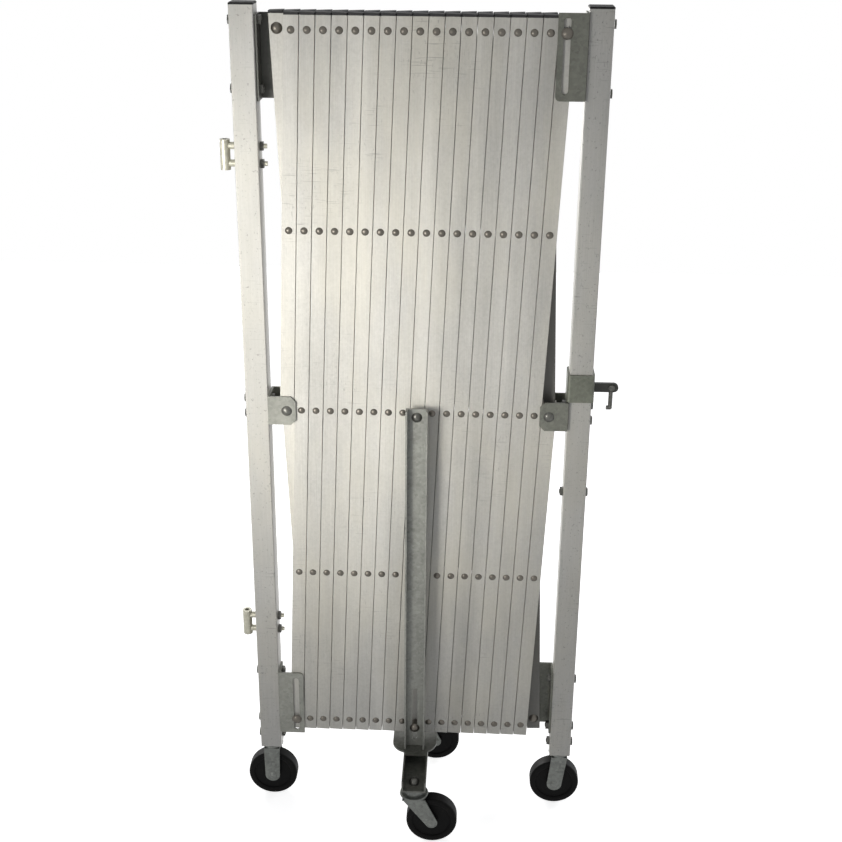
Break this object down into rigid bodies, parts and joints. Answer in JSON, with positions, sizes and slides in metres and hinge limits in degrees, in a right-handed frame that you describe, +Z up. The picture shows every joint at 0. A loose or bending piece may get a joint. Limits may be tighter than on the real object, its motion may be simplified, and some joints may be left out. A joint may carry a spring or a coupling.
{
  "type": "expandable gate",
  "caption": "Folded scissor gate of riveted aluminum slats between two posts, with a centre channel, slotted end brackets, a latch hook, hinge sleeves and swivel casters.",
  "frame": {"origin": "on the floor, under the middle of the folded gate's overall width and depth", "axes": "+Z up, +X along the gate from the hinge post to the latch post, -Y towards the side with the centre channel"},
  "size_m": [0.5412, 0.246, 1.2088],
  "materials": {
    "aluminum": "satin",
    "zinc_steel": "satin",
    "bright_steel": "satin",
    "black_plastic": "matte",
    "black_wheel": "matte"
  },
  "bodies": {
    "left_post_body": {"left_post": "aluminum", "left_brackets": "zinc_steel", "left_plugs": "black_plastic", "hinge_sleeves": "zinc_steel", "left_fasteners": "bright_steel"},
    "right_post_body": {"right_post": "aluminum", "right_brackets": "zinc_steel", "right_plugs": "black_plastic", "right_fasteners": "bright_steel", "latch_collar": "zinc_steel"},
    "center_body": {"center_channel": "aluminum", "center_foot": "zinc_steel", "center_bolts": "bright_steel"},
    "latch_hook_body": {"latch_hook": "bright_steel"},
    "front_slat_left_half_body": {"front_slat_left_half": "aluminum"},
    "rear_slat_left_half_body": {"rear_slat_left_half": "aluminum"},
    "front_slat_00_body": {"front_slat_00": "aluminum"},
    "rear_slat_00_body": {"rear_slat_00": "aluminum"},
    "front_slat_01_body": {"front_slat_01": "aluminum"},
    "rear_slat_01_body": {"rear_slat_01": "aluminum"},
    "front_slat_02_body": {"front_slat_02": "aluminum"},
    "rear_slat_02_body": {"rear_slat_02": "aluminum"},
    "front_slat_03_body": {"front_slat_03": "aluminum"},
    "rear_slat_03_body": {"rear_slat_03": "aluminum"},
    "front_slat_04_body": {"front_slat_04": "aluminum"},
    "rear_slat_04_body": {"rear_slat_04": "aluminum"},
    "front_slat_05_body": {"front_slat_05": "aluminum"},
    "rear_slat_05_body": {"rear_slat_05": "aluminum"},
    "front_slat_06_body": {"front_slat_06": "aluminum"},
    "rear_slat_06_body": {"rear_slat_06": "aluminum"},
    "front_slat_07_body": {"front_slat_07": "aluminum"},
    "rear_slat_07_body": {"rear_slat_07": "aluminum"},
    "front_slat_08_body": {"front_slat_08": "aluminum"},
    "rear_slat_08_body": {"rear_slat_08": "aluminum"},
    "front_slat_09_body": {"front_slat_09": "aluminum"},
    "rear_slat_09_body": {"rear_slat_09": "aluminum"},
    "front_slat_10_body": {"front_slat_10": "aluminum"},
    "rear_slat_10_body": {"rear_slat_10": "aluminum"},
    "front_slat_11_body": {"front_slat_11": "aluminum"},
    "rear_slat_11_body": {"rear_slat_11": "aluminum"},
    "front_slat_12_body": {"front_slat_12": "aluminum"},
    "rear_slat_12_body": {"rear_slat_12": "aluminum"},
    "front_slat_13_body": {"front_slat_13": "aluminum"},
    "rear_slat_13_body": {"rear_slat_13": "aluminum"},
    "front_slat_14_body": {"front_slat_14": "aluminum"},
    "rear_slat_14_body": {"rear_slat_14": "aluminum"},
    "front_slat_15_body": {"front_slat_15": "aluminum"},
    "rear_slat_15_body": {"rear_slat_15": "aluminum"},
    "front_slat_16_body": {"front_slat_16": "aluminum"},
    "rear_slat_16_body": {"rear_slat_16": "aluminum"},
    "front_slat_right_half_body": {"front_slat_right_half": "aluminum"},
    "rear_slat_right_half_body": {"rear_slat_right_half": "aluminum"},
    "left_fork_body": {"left_fork": "zinc_steel"},
    "left_wheel_body": {"left_wheel": "black_wheel"},
    "right_fork_body": {"right_fork": "zinc_steel"},
    "right_wheel_body": {"right_wheel": "black_wheel"},
    "foot_front_fork_body": {"foot_front_fork": "zinc_steel"},
    "foot_front_wheel_body": {"foot_front_wheel": "black_wheel"},
    "foot_rear_fork_body": {"foot_rear_fork": "zinc_steel"},
    "foot_rear_wheel_body": {"foot_rear_wheel": "black_wheel"}
  },
  "joints": [
    {"name": "lattice_opening", "type": "hinge", "parent": "left_post_body", "child": "front_slat_left_half_body", "pos_m": [-0.19019, 0, 0.6628], "axis": [0, 1, 0], "range_deg": [0, 27]},
    {"name": "rear_left_half_pivot", "type": "hinge", "parent": "left_post_body", "child": "rear_slat_left_half_body", "pos_m": [-0.19019, 0, 0.6628], "axis": [0, 1, 0], "range_deg": [-27, 0]},
    {"name": "front_slat_00_pivot", "type": "hinge", "parent": "rear_slat_left_half_body", "child": "front_slat_00_body", "pos_m": [-0.18004, 0, 0.4058], "axis": [0, 1, 0], "range_deg": [0, 54]},
    {"name": "rear_slat_00_pivot", "type": "hinge", "parent": "front_slat_left_half_body", "child": "rear_slat_00_body", "pos_m": [-0.18004, 0, 0.9198], "axis": [0, 1, 0], "range_deg": [-54, 0]},
    {"name": "front_slat_01_pivot", "type": "hinge", "parent": "rear_slat_left_half_body", "child": "front_slat_01_body", "pos_m": [-0.16989, 0, 0.1488], "axis": [0, 1, 0], "range_deg": [0, 54]},
    {"name": "rear_slat_01_pivot", "type": "hinge", "parent": "front_slat_left_half_body", "child": "rear_slat_01_body", "pos_m": [-0.16989, 0, 1.1768], "axis": [0, 1, 0], "range_deg": [-54, 0]},
    {"name": "front_slat_02_pivot", "type": "hinge", "parent": "rear_slat_01_body", "child": "front_slat_02_body", "pos_m": [-0.13944, 0, 0.4058], "axis": [0, 1, 0], "range_deg": [0, 54]},
    {"name": "rear_slat_02_pivot", "type": "hinge", "parent": "front_slat_01_body", "child": "rear_slat_02_body", "pos_m": [-0.13944, 0, 0.9198], "axis": [0, 1, 0], "range_deg": [-54, 0]},
    {"name": "front_slat_03_pivot", "type": "hinge", "parent": "rear_slat_01_body", "child": "front_slat_03_body", "pos_m": [-0.12929, 0, 0.1488], "axis": [0, 1, 0], "range_deg": [0, 54]},
    {"name": "rear_slat_03_pivot", "type": "hinge", "parent": "front_slat_01_body", "child": "rear_slat_03_body", "pos_m": [-0.12929, 0, 1.1768], "axis": [0, 1, 0], "range_deg": [-54, 0]},
    {"name": "front_slat_04_pivot", "type": "hinge", "parent": "rear_slat_03_body", "child": "front_slat_04_body", "pos_m": [-0.09884, 0, 0.4058], "axis": [0, 1, 0], "range_deg": [0, 54]},
    {"name": "rear_slat_04_pivot", "type": "hinge", "parent": "front_slat_03_body", "child": "rear_slat_04_body", "pos_m": [-0.09884, 0, 0.9198], "axis": [0, 1, 0], "range_deg": [-54, 0]},
    {"name": "front_slat_05_pivot", "type": "hinge", "parent": "rear_slat_03_body", "child": "front_slat_05_body", "pos_m": [-0.08869, 0, 0.1488], "axis": [0, 1, 0], "range_deg": [0, 54]},
    {"name": "rear_slat_05_pivot", "type": "hinge", "parent": "front_slat_03_body", "child": "rear_slat_05_body", "pos_m": [-0.08869, 0, 1.1768], "axis": [0, 1, 0], "range_deg": [-54, 0]},
    {"name": "front_slat_06_pivot", "type": "hinge", "parent": "rear_slat_05_body", "child": "front_slat_06_body", "pos_m": [-0.05824, 0, 0.4058], "axis": [0, 1, 0], "range_deg": [0, 54]},
    {"name": "rear_slat_06_pivot", "type": "hinge", "parent": "front_slat_05_body", "child": "rear_slat_06_body", "pos_m": [-0.05824, 0, 0.9198], "axis": [0, 1, 0], "range_deg": [-54, 0]},
    {"name": "front_slat_07_pivot", "type": "hinge", "parent": "rear_slat_05_body", "child": "front_slat_07_body", "pos_m": [-0.04809, 0, 0.1488], "axis": [0, 1, 0], "range_deg": [0, 54]},
    {"name": "rear_slat_07_pivot", "type": "hinge", "parent": "front_slat_05_body", "child": "rear_slat_07_body", "pos_m": [-0.04809, 0, 1.1768], "axis": [0, 1, 0], "range_deg": [-54, 0]},
    {"name": "front_slat_08_pivot", "type": "hinge", "parent": "rear_slat_07_body", "child": "front_slat_08_body", "pos_m": [-0.01764, 0, 0.4058], "axis": [0, 1, 0], "range_deg": [0, 54]},
    {"name": "rear_slat_08_pivot", "type": "hinge", "parent": "front_slat_07_body", "child": "rear_slat_08_body", "pos_m": [-0.01764, 0, 0.9198], "axis": [0, 1, 0], "range_deg": [-54, 0]},
    {"name": "front_slat_09_pivot", "type": "hinge", "parent": "rear_slat_07_body", "child": "front_slat_09_body", "pos_m": [-0.00749, 0, 0.1488], "axis": [0, 1, 0], "range_deg": [0, 54]},
    {"name": "rear_slat_09_pivot", "type": "hinge", "parent": "front_slat_07_body", "child": "rear_slat_09_body", "pos_m": [-0.00749, 0, 1.1768], "axis": [0, 1, 0], "range_deg": [-54, 0]},
    {"name": "front_slat_10_pivot", "type": "hinge", "parent": "rear_slat_09_body", "child": "front_slat_10_body", "pos_m": [0.02296, 0, 0.4058], "axis": [0, 1, 0], "range_deg": [0, 54]},
    {"name": "rear_slat_10_pivot", "type": "hinge", "parent": "front_slat_09_body", "child": "rear_slat_10_body", "pos_m": [0.02296, 0, 0.9198], "axis": [0, 1, 0], "range_deg": [-54, 0]},
    {"name": "front_slat_11_pivot", "type": "hinge", "parent": "rear_slat_09_body", "child": "front_slat_11_body", "pos_m": [0.03311, 0, 0.1488], "axis": [0, 1, 0], "range_deg": [0, 54]},
    {"name": "rear_slat_11_pivot", "type": "hinge", "parent": "front_slat_09_body", "child": "rear_slat_11_body", "pos_m": [0.03311, 0, 1.1768], "axis": [0, 1, 0], "range_deg": [-54, 0]},
    {"name": "front_slat_12_pivot", "type": "hinge", "parent": "rear_slat_11_body", "child": "front_slat_12_body", "pos_m": [0.06356, 0, 0.4058], "axis": [0, 1, 0], "range_deg": [0, 54]},
    {"name": "rear_slat_12_pivot", "type": "hinge", "parent": "front_slat_11_body", "child": "rear_slat_12_body", "pos_m": [0.06356, 0, 0.9198], "axis": [0, 1, 0], "range_deg": [-54, 0]},
    {"name": "front_slat_13_pivot", "type": "hinge", "parent": "rear_slat_11_body", "child": "front_slat_13_body", "pos_m": [0.07371, 0, 0.1488], "axis": [0, 1, 0], "range_deg": [0, 54]},
    {"name": "rear_slat_13_pivot", "type": "hinge", "parent": "front_slat_11_body", "child": "rear_slat_13_body", "pos_m": [0.07371, 0, 1.1768], "axis": [0, 1, 0], "range_deg": [-54, 0]},
    {"name": "front_slat_14_pivot", "type": "hinge", "parent": "rear_slat_13_body", "child": "front_slat_14_body", "pos_m": [0.10416, 0, 0.4058], "axis": [0, 1, 0], "range_deg": [0, 54]},
    {"name": "rear_slat_14_pivot", "type": "hinge", "parent": "front_slat_13_body", "child": "rear_slat_14_body", "pos_m": [0.10416, 0, 0.9198], "axis": [0, 1, 0], "range_deg": [-54, 0]},
    {"name": "front_slat_15_pivot", "type": "hinge", "parent": "rear_slat_13_body", "child": "front_slat_15_body", "pos_m": [0.11431, 0, 0.1488], "axis": [0, 1, 0], "range_deg": [0, 54]},
    {"name": "rear_slat_15_pivot", "type": "hinge", "parent": "front_slat_13_body", "child": "rear_slat_15_body", "pos_m": [0.11431, 0, 1.1768], "axis": [0, 1, 0], "range_deg": [-54, 0]},
    {"name": "front_slat_16_pivot", "type": "hinge", "parent": "rear_slat_15_body", "child": "front_slat_16_body", "pos_m": [0.14476, 0, 0.4058], "axis": [0, 1, 0], "range_deg": [0, 54]},
    {"name": "rear_slat_16_pivot", "type": "hinge", "parent": "front_slat_15_body", "child": "rear_slat_16_body", "pos_m": [0.14476, 0, 0.9198], "axis": [0, 1, 0], "range_deg": [-54, 0]},
    {"name": "front_slat_right_half_pivot", "type": "hinge", "parent": "rear_slat_15_body", "child": "front_slat_right_half_body", "pos_m": [0.15491, 0, 0.1488], "axis": [0, 1, 0], "range_deg": [0, 54]},
    {"name": "rear_slat_right_half_pivot", "type": "hinge", "parent": "front_slat_15_body", "child": "rear_slat_right_half_body", "pos_m": [0.15491, 0, 1.1768], "axis": [0, 1, 0], "range_deg": [-54, 0]},
    {"name": "right_post_pivot", "type": "hinge", "parent": "front_slat_right_half_body", "child": "right_post_body", "pos_m": [0.17521, 0, 0.6628], "axis": [0, 1, 0], "range_deg": [-27, 0]},
    {"name": "center_channel_pivot", "type": "hinge", "parent": "front_slat_08_body", "child": "center_body", "pos_m": [-0.00749, 0, 0.6628], "axis": [0, 1, 0], "range_deg": [-27, 0]},
    {"name": "latch_hook_swing", "type": "hinge", "parent": "right_post_body", "child": "latch_hook_body", "pos_m": [0.26126, 0, 0.7012], "axis": [0, 1, 0], "range_deg": [-150, 30]},
    {"name": "left_swivel", "type": "hinge", "parent": "left_post_body", "child": "left_fork_body", "pos_m": [-0.23246, 0, 0.082], "axis": [0, 0, 1], "continuous": true},
    {"name": "left_wheel_spin", "type": "hinge", "parent": "left_fork_body", "child": "left_wheel_body", "pos_m": [-0.23246, 0, 0.0381], "axis": [0, 1, 0], "continuous": true},
    {"name": "right_swivel", "type": "hinge", "parent": "right_post_body", "child": "right_fork_body", "pos_m": [0.21749, 0, 0.082], "axis": [0, 0, 1], "continuous": true},
    {"name": "right_wheel_spin", "type": "hinge", "parent": "right_fork_body", "child": "right_wheel_body", "pos_m": [0.21149, 0, 0.0381], "axis": [0, 1, 0], "continuous": true},
    {"name": "foot_front_swivel", "type": "hinge", "parent": "center_body", "child": "foot_front_fork_body", "pos_m": [-0.00479, -0.1015, 0.082], "axis": [0, 0, 1], "continuous": true},
    {"name": "foot_front_wheel_spin", "type": "hinge", "parent": "foot_front_fork_body", "child": "foot_front_wheel_body", "pos_m": [0.02221, -0.1015, 0.0381], "axis": [0, 1, 0], "continuous": true},
    {"name": "foot_rear_swivel", "type": "hinge", "parent": "center_body", "child": "foot_rear_fork_body", "pos_m": [-0.00479, 0.1015, 0.082], "axis": [0, 0, 1], "continuous": true},
    {"name": "foot_rear_wheel_spin", "type": "hinge", "parent": "foot_rear_fork_body", "child": "foot_rear_wheel_body", "pos_m": [0.02221, 0.1015, 0.0381], "axis": [0, 1, 0], "continuous": true}
  ],
  "couplings": [
    {"joint": "rear_left_half_pivot", "follows": "lattice_opening", "ratio": -1},
    {"joint": "front_slat_00_pivot", "follows": "lattice_opening", "ratio": 2},
    {"joint": "rear_slat_00_pivot", "follows": "lattice_opening", "ratio": -2},
    {"joint": "front_slat_01_pivot", "follows": "lattice_opening", "ratio": 2},
    {"joint": "rear_slat_01_pivot", "follows": "lattice_opening", "ratio": -2},
    {"joint": "front_slat_02_pivot", "follows": "lattice_opening", "ratio": 2},
    {"joint": "rear_slat_02_pivot", "follows": "lattice_opening", "ratio": -2},
    {"joint": "front_slat_03_pivot", "follows": "lattice_opening", "ratio": 2},
    {"joint": "rear_slat_03_pivot", "follows": "lattice_opening", "ratio": -2},
    {"joint": "front_slat_04_pivot", "follows": "lattice_opening", "ratio": 2},
    {"joint": "rear_slat_04_pivot", "follows": "lattice_opening", "ratio": -2},
    {"joint": "front_slat_05_pivot", "follows": "lattice_opening", "ratio": 2},
    {"joint": "rear_slat_05_pivot", "follows": "lattice_opening", "ratio": -2},
    {"joint": "front_slat_06_pivot", "follows": "lattice_opening", "ratio": 2},
    {"joint": "rear_slat_06_pivot", "follows": "lattice_opening", "ratio": -2},
    {"joint": "front_slat_07_pivot", "follows": "lattice_opening", "ratio": 2},
    {"joint": "rear_slat_07_pivot", "follows": "lattice_opening", "ratio": -2},
    {"joint": "front_slat_08_pivot", "follows": "lattice_opening", "ratio": 2},
    {"joint": "rear_slat_08_pivot", "follows": "lattice_opening", "ratio": -2},
    {"joint": "front_slat_09_pivot", "follows": "lattice_opening", "ratio": 2},
    {"joint": "rear_slat_09_pivot", "follows": "lattice_opening", "ratio": -2},
    {"joint": "front_slat_10_pivot", "follows": "lattice_opening", "ratio": 2},
    {"joint": "rear_slat_10_pivot", "follows": "lattice_opening", "ratio": -2},
    {"joint": "front_slat_11_pivot", "follows": "lattice_opening", "ratio": 2},
    {"joint": "rear_slat_11_pivot", "follows": "lattice_opening", "ratio": -2},
    {"joint": "front_slat_12_pivot", "follows": "lattice_opening", "ratio": 2},
    {"joint": "rear_slat_12_pivot", "follows": "lattice_opening", "ratio": -2},
    {"joint": "front_slat_13_pivot", "follows": "lattice_opening", "ratio": 2},
    {"joint": "rear_slat_13_pivot", "follows": "lattice_opening", "ratio": -2},
    {"joint": "front_slat_14_pivot", "follows": "lattice_opening", "ratio": 2},
    {"joint": "rear_slat_14_pivot", "follows": "lattice_opening", "ratio": -2},
    {"joint": "front_slat_15_pivot", "follows": "lattice_opening", "ratio": 2},
    {"joint": "rear_slat_15_pivot", "follows": "lattice_opening", "ratio": -2},
    {"joint": "front_slat_16_pivot", "follows": "lattice_opening", "ratio": 2},
    {"joint": "rear_slat_16_pivot", "follows": "lattice_opening", "ratio": -2},
    {"joint": "front_slat_right_half_pivot", "follows": "lattice_opening", "ratio": 2},
    {"joint": "rear_slat_right_half_pivot", "follows": "lattice_opening", "ratio": -2},
    {"joint": "right_post_pivot", "follows": "lattice_opening", "ratio": -1},
    {"joint": "center_channel_pivot", "follows": "lattice_opening", "ratio": -1}
  ]
}
